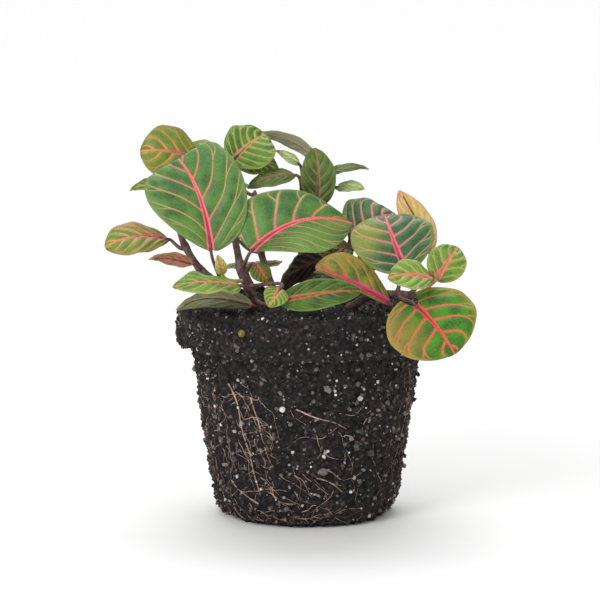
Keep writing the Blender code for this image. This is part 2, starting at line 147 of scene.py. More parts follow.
# Main roots: angle round the ball in degrees (0 faces -Y), and share of the wall's height
ROOTS = {
    "root_left_long": (
        (-42, 0.83), (-38, 0.69), (-37, 0.52), (-33, 0.37), (-31, 0.23), (-28, 0.10),
    ),
    "root_left_short": ((-30, 0.75), (-27, 0.60), (-24, 0.46), (-21, 0.32)),
    "root_left_foot": ((-50, 0.17), (-44, 0.12), (-36, 0.07), (-30, 0.04)),
    "root_front_slant": ((-5, 0.69), (5, 0.63), (15, 0.60), (22, 0.55)),
    "root_front_foot": ((6, 0.23), (14, 0.20), (22, 0.13)),
    "root_right_edge": ((66, 0.89), (70, 0.72), (68, 0.55), (67, 0.37), (64, 0.20)),
}
# Patches of fine roots: angles, heights in mm, headings, lengths in mm, and how many
PALE_ROOTS = (
    ((-58, -24), (34, 66), (-15, 25), (14, 40), 20),
    ((-62, -30), (30, 62), (40, 130), (8, 24), 12),
    ((-52, -6), (6, 30), (20, 80), (10, 30), 14),
    ((-14, 46), (16, 62), (-70, 90), (8, 24), 18),
    ((-40, 40), (3, 10), (70, 100), (12, 26), 10),
    ((60, 300), (6, 72), (-50, 50), (12, 40), 60),
)
RUSTY_ROOTS = (
    ((56, 84), (24, 76), (-12, 12), (20, 48), 12),
    ((-36, 44), (2, 5), (75, 95), (14, 30), 9),
    ((-80, -56), (20, 66), (-15, 15), (12, 34), 9),
    ((90, 280), (4, 60), (-30, 30), (14, 40), 20),
)

# Outline exponents of a blade: how fast it widens from its base and narrows to its tip.
# A leaf with a pair of outlines has one for each side of its midrib, left and right.
OUTLINES = {
    "round": (0.48, 0.50),
    "broad": (0.50, 0.62),
    "oval": (0.60, 0.75),
    "pointed": (0.60, 1.05),
    "spoon": (0.72, 0.50),
    "kidney": (0.38, 0.50),
    "square": (0.45, 0.42),
    "shoulder": (0.38, 1.10),
    "late": (0.85, 0.50),
}
# Divisions along a blade and across it
GRIDS = {"large": (104, 96), "medium": (72, 64), "small": (44, 36)}

# Each stem's line, from the soil to its tip, in millimetres from the crown
STEMS = {
    "stem_left": (
        (-33, -16, 0), (-41, -15, 12), (-48, -14, 18), (-54, -12, 27),
        (-57, -8, 34), (-59, -2, 46), (-60, 2, 52),
    ),
    "stem_crown": (
        (-23, -20, 0), (-25, -22, 9), (-29, -22, 19), (-31, -18, 27),
        (-33, -8, 37), (-33, 2, 50), (-33, 8, 58),
    ),
    "stem_tall": ((0, 4, 0), (-2, 4, 20), (-2, 5, 36), (-1, 7, 49), (-1, 9, 60)),
    "stem_middle": ((13, -4, 0), (16, -6, 12), (19, -6, 24), (21, -4, 32)),
    "stem_right": (
        (20, -14, 0), (27, -22, 6), (35, -30, 9), (44, -37, 9.5), (50, -41, 10), (54, -42, 12),
    ),
    "stem_rear_left": ((-14, 22, 0), (-20, 32, 16), (-24, 38, 34), (-24, 42, 48)),
    "stem_rear_right": ((16, 20, 0), (24, 30, 14), (30, 36, 28), (32, 38, 36)),
}


@dataclass
class Leaf:
    """One leaf: its stem and how far up it grows, the base and tip of its blade, the way its face
    looks, its width, outline and grid, and its finishes. Then what shapes it: arch, bend and lobe
    are shares of its length, and fold, wave, left and right are shares of its half width."""
    stem: str
    share: float
    base: tuple
    tip: tuple
    face: tuple
    width: float
    outline: str | tuple
    grid: str
    skin: str = "fresh"
    back: str = "grey"
    stalk: str = "brown"
    arch: float = 0.08
    bend: float = 0.0
    fold: float = 0.0
    lobe: float = 0.0
    wave: float = 0.0
    # Height of the margin's small waves, in millimetres
    ruffle: float = 0.5
    left: float = 1.0
    right: float = 1.0
    # Pairs of side veins, and how far each climbs: evenly, and more steeply near the margin
    pairs: float = 5.0
    rise: tuple = (0.30, 0.30)
    sweep: tuple = (0.16, 0.16)
    # Two points of the line past which the blade is folded back, and the fold's radius
    tuck: tuple = ()
    # Tinted patches: place along and across, reach, colour and strength
    stains: tuple = ()


LEAVES = {
    "leaf_front_left": Leaf(
        "left", 0.16, (-42.3, -30, 28), (-61.3, -8, 72.5), (0, -0.87, 0.45), 46,
        ("spoon", "square"), "large", skin="deep", arch=0.10, bend=0.07, fold=0.06, ruffle=0.3,
        left=0.97, right=0.93, rise=(0.52, 0.40), sweep=(0.0, 0.12),
        tuck=((0.80, -0.20), (0.90, 0.24), 1.6),
        stains=((0.1, -0.5, 0.30, (96, 150, 48), 0.5), (0.85, 0.6, 0.35, (84, 138, 74), 0.5))),
    "leaf_front_centre": Leaf(
        "crown", 0.30, (-24.3, -31, 28.1), (20.5, -24, 40.8), (0.1, -0.85, 0.5), 43,
        ("shoulder", "late"), "large", skin="deep", arch=0.06, bend=-0.13, fold=0.08, left=0.9,
        right=0.78, pairs=5.5, rise=(0.16, 0.8), sweep=(0.05, 0.0),
        stains=((0.6, 0.8, 0.45, (112, 158, 62), 0.7), (0.9, 0.1, 0.3, (120, 160, 66), 0.6))),
    "leaf_top_left": Leaf(
        "left", 0.97, (-47.2, 13, 64.4), (-74.7, 5, 70.5), (-0.1, -0.8, 0.6), 29, "spoon", "medium",
        skin="olive", arch=0.10),
    "leaf_top_hidden": Leaf(
        "crown", 0.88, (-36, 17, 67), (-53, 15, 73), (0, -0.3, 0.95), 13, "oval", "small"),
    "leaf_left_bud": Leaf(
        "left", 0.90, (-64, 0, 53), (-79.9, -2, 53.4), (0, -0.4, 0.9), 12, "pointed", "small",
        fold=0.2),
    "leaf_far_left": Leaf(
        "left", 0.55, (-62, -10, 31), (-90, -18, 30), (-0.15, -0.5, 0.85), 25, "spoon", "medium",
        skin="olive", arch=0.10,
        stains=((0.2, 0.0, 0.35, (196, 110, 92), 0.7), (0.5, 1.0, 0.4, (186, 112, 80), 0.6))),
    "leaf_left_pointed": Leaf(
        "left", 0.36, (-50.8, -19, 21.2), (-70.3, -22, 24.8), (0, 0.5, 0.87), 15, "pointed",
        "small", skin="olive", back="russet", arch=0.05),
    "leaf_lower_left": Leaf(
        "crown", 0.14, (-29.3, -35.5, 13.3), (-58.1, -46, 15.8), (0, -0.30, 0.95), 22, "broad",
        "medium", skin="lime", arch=0.04, wave=0.10),
    "leaf_rim_left": Leaf(
        "crown", 0.04, (-24.1, -33, 4.2), (-57.7, -45, 5.9), (0, 0.72, 0.69), 14, "broad", "medium",
        arch=0.12),
    "leaf_top_middle": Leaf(
        "crown", 0.97, (-31.8, 2, 67.1), (-18.7, 7, 77.7), (0, -0.7, 0.7), 26, "round", "large",
        fold=0.10, lobe=0.22, wave=0.06, left=0.95, right=1.15),
    "leaf_arched": Leaf(
        "tall", 0.98, (8.3, 12, 62.2), (-23.8, 13, 78.1), (0.1, 0.45, 0.9), 15, "oval", "medium",
        back="grey_painted_lit", stalk="pink", arch=0.12),
    "leaf_tall_front": Leaf(
        "tall", 0.72, (5, 1, 45.8), (4.5, 5, 71), (0.3, -0.85, 0.4), 17, "broad", "medium",
        skin="dim", arch=0.10, fold=0.10),
    "leaf_tall_right": Leaf(
        "tall", 0.74, (7.3, 8, 44.6), (11.4, 9, 62.4), (0.2, -0.8, 0.5), 8, "oval", "small",
        skin="dim"),
    "leaf_tall_pale": Leaf(
        "tall", 0.90, (-3.2, 4, 63.8), (-13.7, 7, 70.4), (0.2, -0.5, 0.85), 7, "pointed", "small",
        skin="pale", arch=0.05),
    "leaf_middle_back": Leaf(
        "crown", 0.99, (-31.5, 8, 64.8), (-12.3, 3, 62), (0, -0.6, 0.8), 16, "oval", "small",
        back="green"),
    "leaf_middle_front": Leaf(
        "tall", 0.80, (-5, -2.5, 59.4), (-26.7, -4, 54.9), (0.1, -0.45, 0.9), 14, "oval", "small",
        skin="dim"),
    "leaf_back_pointed": Leaf(
        "tall", 0.86, (8.8, 17, 58.9), (28.4, 12, 62.2), (0, -0.3, 0.95), 11, "pointed", "small",
        skin="dim", arch=0.05),
    "leaf_back_pale": Leaf(
        "tall", 0.78, (13.8, 13.5, 52.3), (26.5, 8.5, 52.8), (0, -0.5, 0.85), 9, "oval", "small",
        skin="pale"),
    "leaf_right_back": Leaf(
        "middle", 0.95, (19.9, -8, 33.5), (41, 2, 42), (0, -0.6, 0.8), 34, "broad", "medium",
        skin="teal", arch=0.10),
    "leaf_right_round": Leaf(
        "right", 0.66, (42.7, -34, 23.1), (35.5, -14, 43.3), (-0.05, -0.62, 0.78), 37.5, "round",
        "large", skin="teal", bend=-0.03, fold=0.05, lobe=0.18, pairs=4.5,
        stains=((0.6, -0.9, 0.5, (150, 160, 48), 0.8),)),
    "leaf_right_upright": Leaf(
        "right", 0.80, (55.9, -12, 24.5), (41.3, -2, 51.1), (-0.6, 0.65, 0.4), 17, "oval", "medium",
        skin="olive", back="tan", arch=-0.08),
    "leaf_right_upper": Leaf(
        "right", 0.94, (57.4, -38, 16.1), (67.6, -28, 30), (0.2, -0.75, 0.63), 17.5, "broad",
        "medium", skin="lime", stalk="pink", fold=0.10, pairs=4.0),
    "leaf_right_inner": Leaf(
        "right", 0.99, (54.1, -51, 18.7), (36, -55, 20.1), (0, -0.6, 0.8), 19, "broad", "medium",
        skin="lime", stalk="pink", fold=0.10, pairs=4.0),
    "leaf_right_low": Leaf(
        "right", 0.72, (47.9, -53, 7), (64.4, -65.5, -11.7), (0.1, -0.8, 0.6), 43, "kidney",
        "large", skin="bright", lobe=0.2, pairs=4.0, stains=((0.4, 1.0, 0.5, (176, 128, 66), 0.6),)),
    "leaf_centre_folded": Leaf(
        "right", 0.42, (37.6, -35, 4.9), (5, -40, 22.6), (-0.2, -0.75, 0.6), 22, ("oval", "late"),
        "medium", skin="sunlit", arch=0.05, fold=0.15, left=0.25, right=1.05),
    "leaf_low_centre": Leaf(
        "crown", 0.08, (-11.5, -49.5, 8.3), (23.4, -54, 14.2), (0, -0.85, 0.5), 14.5, "broad",
        "large", skin="shaded", arch=0.05, wave=0.06),
    "leaf_low_small": Leaf(
        "crown", 0.17, (-11, -49, 14), (-16, -57, 7.5), (0, -0.9, 0.4), 11, "broad", "small"),
    "leaf_shade_right": Leaf(
        "middle", 0.70, (7, -10, 22), (-13, -22, 12), (-0.4, 0.6, 0.7), 24, "broad", "medium",
        skin="shaded", back="painted_shade"),
    "leaf_shade_left": Leaf(
        "crown", 0.26, (-23, -29, 22), (-17, -33, 14.5), (0.3, -0.8, 0.5), 10, "oval", "small",
        skin="shaded", arch=0.05),
    "leaf_shade_small": Leaf(
        "middle", 0.76, (14, -20, 24), (5, -24, 28), (0, -0.8, 0.6), 6, "oval", "small", arch=0.0),
    "leaf_shade_back": Leaf(
        "middle", 0.84, (21, -16, 27), (10, -22, 30), (0, -0.6, 0.8), 14, "oval", "small",
        skin="shaded", arch=0.0),
    "bract_dry": Leaf(
        "crown", 0.22, (-37, -29.5, 17), (-39, -33.5, 26), (0.1, -0.9, 0.3), 5.5, "oval", "small",
        skin="husk", back="husk", stalk="husk", arch=0.10),
    "leaf_rear_left_low": Leaf(
        "rear_left", 0.26, (-24, 42, 11), (-26, 66, 8), (-0.1, 0.4, 0.9), 28, "broad", "medium",
        skin="bright", arch=0.12),
    "leaf_rear_left_mid": Leaf(
        "rear_left", 0.46, (-33, 40, 26), (-52, 54, 31), (-0.2, 0.4, 0.9), 26, "broad", "medium",
        skin="deep", arch=0.10),
    "leaf_rear_left_high": Leaf(
        "rear_left", 0.68, (-34, 38, 36), (-62, 38, 46), (-0.3, 0.4, 0.85), 30, "broad", "medium",
        skin="deep", arch=0.12),
    "leaf_rear_centre": Leaf(
        "rear_left", 0.60, (-16, 46, 33), (-7, 70, 36), (0.1, 0.4, 0.9), 32, "round", "medium",
        skin="teal", arch=0.12, lobe=0.12),
    "leaf_rear_top": Leaf(
        "rear_left", 0.96, (-31, 47, 50), (-44, 62, 53), (-0.1, 0.5, 0.86), 22, "broad", "medium",
        arch=0.10),
    "leaf_rear_inner": Leaf(
        "rear_left", 0.82, (-17, 39, 40), (-2, 32, 44), (0.1, 0.2, 0.95), 18, "oval", "small",
        arch=0.10),
    "leaf_rear_right_high": Leaf(
        "rear_right", 0.90, (36, 42, 27), (54, 56, 26), (0.3, 0.4, 0.85), 30, "round", "medium",
        skin="deep", arch=0.12, lobe=0.10),
    "leaf_rear_right_low": Leaf(
        "rear_right", 0.40, (33, 33, 12), (55, 42, 6), (0.4, 0.3, 0.85), 26, "broad", "medium",
        skin="bright", arch=0.10),
    "leaf_rear_right_inner": Leaf(
        "rear_right", 0.84, (22, 40, 32), (8, 52, 33), (-0.2, 0.3, 0.9), 22, "broad", "medium",
        arch=0.10),
    "leaf_rear_low": Leaf(
        "rear_right", 0.22, (10, 38, 9), (6, 60, 3), (0, 0.4, 0.9), 26, "broad", "medium",
        skin="olive", arch=0.12),
}

# Tells the bud's leaves apart from the others where they draw their drift and ripple
BUD_SEED = 50.0
# The folded young leaves of the bud at the tip of the right shoot
BUD_LEAVES = (
    Leaf(
        "right", 1.0, (53.2, -43.6, 15.6), (51.4, -44.6, 22.2), (0.5, -0.8, 0.2), 5.2, "oval",
        "small", skin="pale", back="green", arch=-0.10, fold=0.35),
    Leaf(
        "right", 1.0, (54.4, -44.0, 15.6), (55.4, -45.6, 21.4), (-0.5, -0.8, 0.2), 5.0, "oval",
        "small", skin="lime", back="green", arch=-0.10, fold=0.35),
    Leaf(
        "right", 1.0, (53.8, -45.2, 15.2), (53.0, -48.0, 19.4), (0.1, -0.3, 0.9), 4.2, "oval",
        "small", skin="pale", back="green", arch=0.12, fold=0.30),
)

# The colours of a blade's upper face in this order, as everyday red, green and blue out of 255
COLOURS = ("Ground", "Shade", "Halo", "Vein", "Outer", "Rib", "Groove", "Edge")
SKINS = {
    "deep": (
        (86, 134, 54), (58, 104, 44), (128, 150, 84), (226, 122, 110),
        (208, 160, 114), (244, 118, 122), (196, 44, 80), (122, 146, 78)),
    "teal": (
        (62, 112, 66), (42, 88, 56), (112, 140, 86), (228, 124, 118),
        (204, 148, 108), (240, 104, 122), (222, 52, 92), (134, 150, 72)),
    "bright": (
        (78, 146, 26), (46, 106, 24), (132, 156, 48), (238, 100, 84),
        (230, 118, 78), (240, 80, 78), (206, 24, 52), (184, 150, 70)),
    "lime": (
        (112, 162, 44), (78, 132, 36), (158, 182, 80), (222, 150, 108),
        (196, 176, 106), (238, 138, 112), (232, 116, 100), (172, 182, 102)),
    "fresh": (
        (84, 142, 40), (50, 104, 28), (128, 160, 60), (200, 166, 94),
        (176, 172, 90), (206, 164, 104), (200, 128, 92), (142, 158, 80)),
    "olive": (
        (130, 146, 46), (92, 128, 40), (164, 156, 66), (236, 152, 84),
        (206, 146, 78), (214, 118, 104), (206, 100, 104), (158, 124, 70)),
    "sunlit": (
        (152, 146, 52), (70, 112, 44), (190, 140, 60), (222, 104, 84),
        (214, 140, 66), (232, 64, 122), (216, 30, 104), (180, 140, 66)),
    "shaded": (
        (68, 114, 26), (36, 76, 16), (96, 128, 38), (172, 104, 48),
        (132, 120, 46), (172, 116, 68), (160, 84, 62), (120, 148, 54)),
    "dim": (
        (98, 124, 50), (60, 88, 34), (108, 130, 58), (146, 134, 76),
        (114, 124, 62), (140, 122, 78), (126, 100, 66), (122, 132, 76)),
    "pale": (
        (166, 188, 112), (136, 168, 88), (188, 206, 136), (200, 210, 150),
        (200, 210, 146), (206, 214, 156), (200, 204, 140), (204, 212, 156)),
    "husk": (
        (240, 222, 150), (216, 190, 110), (226, 212, 152), (200, 174, 106),
        (200, 174, 106), (210, 184, 118), (190, 160, 96), (228, 216, 166)),
}
# The same for its underside
BACKS = {
    "grey": (
        (142, 150, 112), (118, 134, 90), (156, 160, 124), (176, 168, 134),
        (166, 164, 126), (186, 162, 136), (180, 146, 124), (158, 150, 114)),
    # painted light: a brighter copy of the grey underside, for the arched leaf whose underside faces down
    # into shade
    "grey_painted_lit": (
        (184, 190, 160), (160, 172, 132), (192, 196, 166), (200, 196, 170),
        (192, 192, 162), (200, 190, 166), (190, 176, 156), (176, 172, 140)),
    "green": (
        (112, 146, 76), (92, 130, 62), (136, 160, 96), (176, 182, 124),
        (166, 176, 116), (196, 176, 130), (186, 150, 116), (150, 160, 100)),
    "russet": (
        (188, 116, 88), (156, 92, 68), (196, 132, 96), (206, 136, 104),
        (180, 136, 98), (206, 122, 108), (190, 96, 92), (150, 146, 84)),
    "tan": (
        (232, 204, 128), (214, 204, 84), (238, 204, 142), (234, 184, 140),
        (234, 166, 136), (232, 150, 130), (226, 130, 120), (222, 122, 112)),
    # painted shade: a near black underside for the leaf that hangs in shadow under the crown
    "painted_shade": (
        (58, 54, 46), (42, 42, 36), (70, 62, 54), (92, 66, 62),
        (84, 64, 58), (112, 72, 70), (96, 60, 62), (80, 70, 58)),
    "husk": SKINS["husk"],
}
# The record's slots of the skins that have one of their own
SLOTS = {"deep": "leaf_deep", "teal": "leaf_deep", "lime": "leaf_lime", "husk": "husk"}
# Two colours of a stalk, which meet in soft streaks
STALKS = {
    "brown": ((92, 64, 62), (120, 92, 80)),
    "pink": ((170, 104, 92), (176, 168, 106)),
    "husk": ((190, 166, 104), (206, 190, 130)),
}


# --- Small helpers ---

def deselect():
    bpy.ops.object.select_all(action="DESELECT")


def select_only(*objects):
    deselect()
    for obj in objects:
        obj.select_set(True)
    bpy.context.view_layer.objects.active = objects[0]


def add_to_scene(obj):
    bpy.context.scene.collection.objects.link(obj)


def apply_modifiers(obj):
    select_only(obj)
    for modifier in list(obj.modifiers):
        bpy.ops.object.modifier_apply(modifier=modifier.name)


def vertex_places(obj):
    places = np.empty(len(obj.data.vertices) * 3)
    obj.data.vertices.foreach_get("co", places)
    return places.reshape(-1, 3)


def move_vertices(obj, places):
    obj.data.vertices.foreach_set("co", places.ravel())
    obj.data.update()


def paint_vectors(obj, name, values):
    made = obj.data.attributes.new(name, "FLOAT_VECTOR", "POINT")
    made.data.foreach_set("vector", np.asarray(values, float).ravel())


def finish_piece(obj, *nodes, slot, finish=None):
    """The piece stands for these CAD nodes. The slot is not used."""
    if finish:
        obj.data.materials.append(finish)
    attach(obj, "root")
    if nodes:
        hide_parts(*nodes)


def ease(low, high, value):
    share = np.clip((value - low) / (high - low), 0.0, 1.0)
    return share * share * (3 - 2 * share)


def unit(vector):
    return vector / np.linalg.norm(vector, axis=-1, keepdims=True)


def from_crown(point):
    return CROWN + np.array(point, float) * MM


def linear(colour):
    """An everyday colour out of 255, as the light it stands for."""
    shares = (part / 255 for part in colour)
    return (*(s / 12.92 if s <= 0.04045 else ((s + 0.055) / 1.055) ** 2.4 for s in shares), 1.0)


def smooth_line(points, step):
    """Points about one step apart on a Catmull-Rom curve through the given points."""
    line = [points[0]]
    for i in range(len(points) - 1):
        p1, p2 = points[i], points[i + 1]
        p0 = points[i - 1] if i else p1 * 2 - p2
        p3 = points[i + 2] if i + 2 < len(points) else p2 * 2 - p1
        count = max(1, round(np.linalg.norm(p2 - p1) / step))
        for j in range(1, count + 1):
            t = j / count
            line.append(
                0.5 * (2 * p1 + (p2 - p0) * t + (2 * p0 - 5 * p1 + 4 * p2 - p3) * t ** 2
                       + (3 * p1 - p0 - 3 * p2 + p3) * t ** 3)
            )
    return np.array(line)


def along(line, share):
    """The point and the direction at a share of a line's length."""
    steps = np.linalg.norm(np.diff(line, axis=0), axis=1)
    passed = np.concatenate(([0.0], np.cumsum(steps)))
    place = min(share, 0.9999) * passed[-1]
    i = int(np.searchsorted(passed, place, side="right")) - 1
    t = (place - passed[i]) / steps[i]
    return line[i] + (line[i + 1] - line[i]) * t, unit(line[i + 1] - line[i])


def tubes(name, lines, smoothness=TUBE_SMOOTHNESS):
    """Round rods in one mesh. Each line is its points and the radius at each of them."""
    curve = bpy.data.curves.new(name, "CURVE")
    curve.dimensions = "3D"
    curve.bevel_depth = 1.0
    curve.bevel_resolution = smoothness
    curve.use_fill_caps = True
    for points, radii in lines:
        spline = curve.splines.new("POLY")
        spline.points.add(len(points) - 1)
        spline.points.foreach_set("co", np.column_stack((points, np.ones(len(points)))).ravel())
        spline.points.foreach_set("radius", np.asarray(radii, float))
    obj = bpy.data.objects.new(name, curve)
    add_to_scene(obj)
    select_only(obj)
    bpy.ops.object.convert(target="MESH")
    obj = bpy.context.object
    bpy.ops.object.shade_smooth()
    return obj


# --- Node helpers ---

def put(tree, kind, *inputs, **settings):
    """Adds a node. Each input in turn is a value, a socket to link from, or None to leave it."""
    made = tree.nodes.new(kind)
    for key, value in settings.items():
        setattr(made, key, value)
    for socket, value in zip(made.inputs, inputs):
        if isinstance(value, bpy.types.NodeSocket):
            tree.links.new(value, socket)
        elif value is not None:
            socket.default_value = value
    return made


def calc(tree, operation, *inputs):
    return put(tree, "ShaderNodeMath", *inputs, operation=operation).outputs[0]


def fade(tree, value, start, end, low=0.0, high=1.0):
    """Eases from low to high as the value goes from start to end."""
    made = put(tree, "ShaderNodeMapRange", value, start, end, low, high,
               interpolation_type="SMOOTHSTEP")
    return made.outputs[0]


def blend(tree, share, first, second, kind="MIX"):
    number_and_vector_inputs = (None,) * 5
    made = put(tree, "ShaderNodeMix", share, *number_and_vector_inputs, first, second,
               data_type="RGBA", blend_type=kind)
    return made.outputs[2]


def noise(tree, place, scale, detail=2.0, roughness=0.5):
    made = put(tree, "ShaderNodeTexNoise", place, None, scale, detail, roughness)
    return made.outputs["Fac"]


def attribute(tree, name):
    return put(tree, "ShaderNodeAttribute", attribute_name=name).outputs


def own_place(tree):
    return put(tree, "ShaderNodeTexCoord").outputs["Object"]


def new_group(name, inputs, outputs):
    tree = bpy.data.node_groups.new(name, "ShaderNodeTree")
    for label, kind in inputs.items():
        tree.interface.new_socket(label, in_out="INPUT", socket_type=kind)
    for label, kind in outputs.items():
        tree.interface.new_socket(label, in_out="OUTPUT", socket_type=kind)
    return tree, tree.nodes.new("NodeGroupInput").outputs, tree.nodes.new("NodeGroupOutput").inputs


def new_material(name, roughness=0.6, specular=0.5):
    made = bpy.data.materials.new(name)
    made.use_nodes = True
    shader = made.node_tree.nodes["Principled BSDF"]
    shader.inputs["Roughness"].default_value = roughness
    shader.inputs["Specular IOR Level"].default_value = specular
    return made, made.node_tree, shader


def show(tree, colour, shader):
    tree.links.new(colour, shader.inputs["Base Color"])


def use_group(tree, group, **values):
    """Places a group in a material. Keys are the group's inputs, with _ for a space."""
    made = tree.nodes.new("ShaderNodeGroup")
    made.node_tree = group
    for key, value in values.items():
        made.inputs[key.replace("_", " ").title()].default_value = value
    return made.outputs


def bump(tree, shader, height, strength, distance):
    made = put(tree, "ShaderNodeBump", strength, distance)
    tree.links.new(height, made.inputs["Height"])
    tree.links.new(made.outputs["Normal"], shader.inputs["Normal"])


# --- Finishes ---

def leaf_group():
    """The nerve pattern of a blade, read from its own place and vein attributes."""
    inputs = {name: "NodeSocketColor" for name in COLOURS}
    inputs["Net"] = "NodeSocketFloat"
    inputs["Raised"] = "NodeSocketFloat"
    outputs = {"Colour": "NodeSocketColor", "Roughness": "NodeSocketFloat", "Height": "NodeSocketFloat"}
    tree, given, result = new_group("Nerve leaf", inputs, outputs)

    place = attribute(tree, "place")["Vector"]
    vein = attribute(tree, "vein")["Vector"]
    tint = attribute(tree, "tint")
    body = own_place(tree)
    across, _, v = put(tree, "ShaderNodeSeparateXYZ", place).outputs
    u, count, pitch = put(tree, "ShaderNodeSeparateXYZ", vein).outputs
    out = calc(tree, "ABSOLUTE", v)
    aside = calc(tree, "ABSOLUTE", across)

    # Side veins and their forks: how far the nearest one is, in millimetres
    right = calc(tree, "GREATER_THAN", v, 0.0)
    count = calc(tree, "MULTIPLY_ADD", right, STAGGER, count)
    forked = calc(tree, "ADD", count, fade(tree, out, FORK_START, 1.0, 0.0, FORK_SPREAD))
    gaps = []
    for turn, thinner in ((count, 0.0), (forked, FORK_THINNER)):
        off = calc(tree, "ABSOLUTE", calc(tree, "SUBTRACT", calc(tree, "FRACT", turn), 0.5))
        gaps.append(calc(tree, "MULTIPLY_ADD", off, pitch, thinner))
    gap = calc(tree, "MINIMUM", *gaps)
    from_vein = calc(tree, "SUBTRACT", gap, fade(tree, out, 0.0, 1.0, *VEIN_HALF_WIDTHS))
    side = fade(tree, from_vein, *VEIN_EDGE)
    side = calc(tree, "MULTIPLY", side, fade(tree, out, 0.98, 0.84, 0.25, 0.95))
    pale = fade(tree, from_vein, HALO_REACH, 0.0)

    # Midrib and the crimson groove down its first half
    taper = calc(tree, "POWER", calc(tree, "SUBTRACT", 1.0, u), RIB_TAPER)
    rib_half = calc(tree, "MULTIPLY_ADD", taper, RIB_BASE_EXTRA, RIB_HALF_WIDTH)
    rib = fade(tree, calc(tree, "SUBTRACT", aside, rib_half), *RIB_EDGE)
    groove_half = fade(tree, u, 0.0, 0.62, *GROOVE_HALF_WIDTHS)
    groove = fade(tree, calc(tree, "SUBTRACT", aside, groove_half), *GROOVE_EDGE)
    groove = calc(tree, "MULTIPLY", groove, fade(tree, u, *GROOVE_END))

    # The fine net between the veins, and broad mottling
    cells = put(tree, "ShaderNodeTexVoronoi", place, None, NET_SCALE,
                voronoi_dimensions="2D", feature="DISTANCE_TO_EDGE")
    net = calc(tree, "MULTIPLY", fade(tree, cells.outputs["Distance"], 0.10, 0.02), given["Net"])
    mottle = fade(tree, noise(tree, body, MOTTLE_SCALE, 3.0), 0.35, 0.65)
    freckle = noise(tree, body, FRECKLE_SCALE)

    colour = blend(tree, mottle, given["Ground"], given["Shade"])
    colour = blend(tree, tint["Alpha"], colour, tint["Color"])
    colour = blend(tree, fade(tree, out, 0.84, 1.0, 0.0, 0.75), colour, given["Edge"])
    colour = blend(tree, net, colour, given["Halo"])
    colour = blend(tree, calc(tree, "MULTIPLY", pale, HALO_STRENGTH), colour, given["Halo"])
    vein_colour = blend(tree, fade(tree, out, 0.10, 0.65), given["Vein"], given["Outer"])
    colour = blend(tree, side, colour, vein_colour)
    rib_colour = blend(tree, fade(tree, u, 0.45, 1.0), given["Rib"], given["Vein"])
    colour = blend(tree, rib, colour, rib_colour)
    colour = blend(tree, groove, colour, given["Groove"])
    tone = fade(tree, freckle, 0.25, 0.75, 0.86, 1.10)
    tone = put(tree, "ShaderNodeCombineColor", tone, tone, tone).outputs[0]
    tree.links.new(blend(tree, 1.0, colour, tone, "MULTIPLY"), result["Colour"])

    rough = fade(tree, freckle, 0.3, 0.7, 0.40, 0.52)
    tree.links.new(calc(tree, "MULTIPLY_ADD", side, 0.06, rough), result["Roughness"])

    relief = calc(tree, "MAXIMUM", side, rib)
    relief = calc(tree, "MULTIPLY", relief, given["Raised"])
    relief = calc(tree, "MULTIPLY_ADD", net, -0.35, relief)
    relief = calc(tree, "MULTIPLY_ADD", freckle, 0.22, relief)
    tree.links.new(relief, result["Height"])
    return tree


def leaf_material(name, colours, raised, net):
    made, tree, shader = new_material(name, specular=0.42)
    values = {key: linear(colour) for key, colour in zip(COLOURS, colours)}
    pattern = use_group(tree, LEAF_GROUP, raised=raised, net=net, **values)
    show(tree, pattern["Colour"], shader)
    tree.links.new(pattern["Roughness"], shader.inputs["Roughness"])
    bump(tree, shader, pattern["Height"], 0.6, 0.35 * MM)
    return made


def speckle_group():
    """Two colours in soft streaks and specks, read from Object coordinates."""
    inputs = {"First": "NodeSocketColor", "Second": "NodeSocketColor", "Scale": "NodeSocketFloat"}
    outputs = {"Colour": "NodeSocketColor", "Height": "NodeSocketFloat"}
    tree, given, result = new_group("Speckle", inputs, outputs)
    streaks = noise(tree, own_place(tree), given["Scale"], 4.0)
    colour = blend(tree, fade(tree, streaks, 0.38, 0.62), given["First"], given["Second"])
    tree.links.new(colour, result["Colour"])
    tree.links.new(streaks, result["Height"])
    return tree


def speckled_material(name, first, second, scale, roughness, depth):
    made, tree, shader = new_material(name, roughness, 0.4)
    pattern = use_group(tree, SPECKLE_GROUP, first=linear(first), second=linear(second), scale=scale)
    show(tree, pattern["Colour"], shader)
    bump(tree, shader, pattern["Height"], 0.7, depth)
    return made


def soil_material():
    """Damp peat: brown on the crumbs, with a few pale specks, and near black between them, which is painted
    shade in the crevices.
    """
    made, tree, shader = new_material("damp_peat", 0.8, 0.35)
    body = own_place(tree)
    crumbs = put(tree, "ShaderNodeTexVoronoi", body, None, 520.0)
    hue, _, speck = put(tree, "ShaderNodeSeparateColor", crumbs.outputs["Color"]).outputs
    broad = noise(tree, body, 70.0, 3.0)
    fine = noise(tree, body, 1300.0, 5.0, 0.65)
    colour = blend(tree, fade(tree, broad, 0.35, 0.65), linear((30, 25, 27)), linear((46, 38, 41)))
    layers = (
        (hue, 0.5, 1.0, 0.7, (70, 58, 56)),
        (speck, 0.955, 0.97, 0.8, (136, 120, 112)),
        (fine, 0.52, 0.72, 0.6, (84, 74, 75)),
        # painted shade: near black in the crevices where the crumbs meet, at the edges of the cells
        (crumbs.outputs["Distance"], 0.35, 0.75, 0.85, (12, 10, 11)),
    )
    for value, start, end, strength, tone in layers:
        colour = blend(tree, fade(tree, value, start, end, 0.0, strength), colour, linear(tone))
    show(tree, colour, shader)
    bump(tree, shader, fine, 1.0, 0.8 * MM)
    return made


def toned_material(name, low, high, roughness, grain, depth):
    """A finish that goes from its low to its high colour with the piece's own tone attribute."""
    made, tree, shader = new_material(name, roughness, 0.4)
    body = own_place(tree)
    tone = attribute(tree, "tone")["Fac"]
    fine = noise(tree, body, grain, 4.0, 0.6)
    share = calc(tree, "ADD", tone, fade(tree, fine, 0.3, 0.7, -0.18, 0.18))
    show(tree, blend(tree, share, linear(low), linear(high)), shader)
    bump(tree, shader, fine, 0.9, depth)
    return made


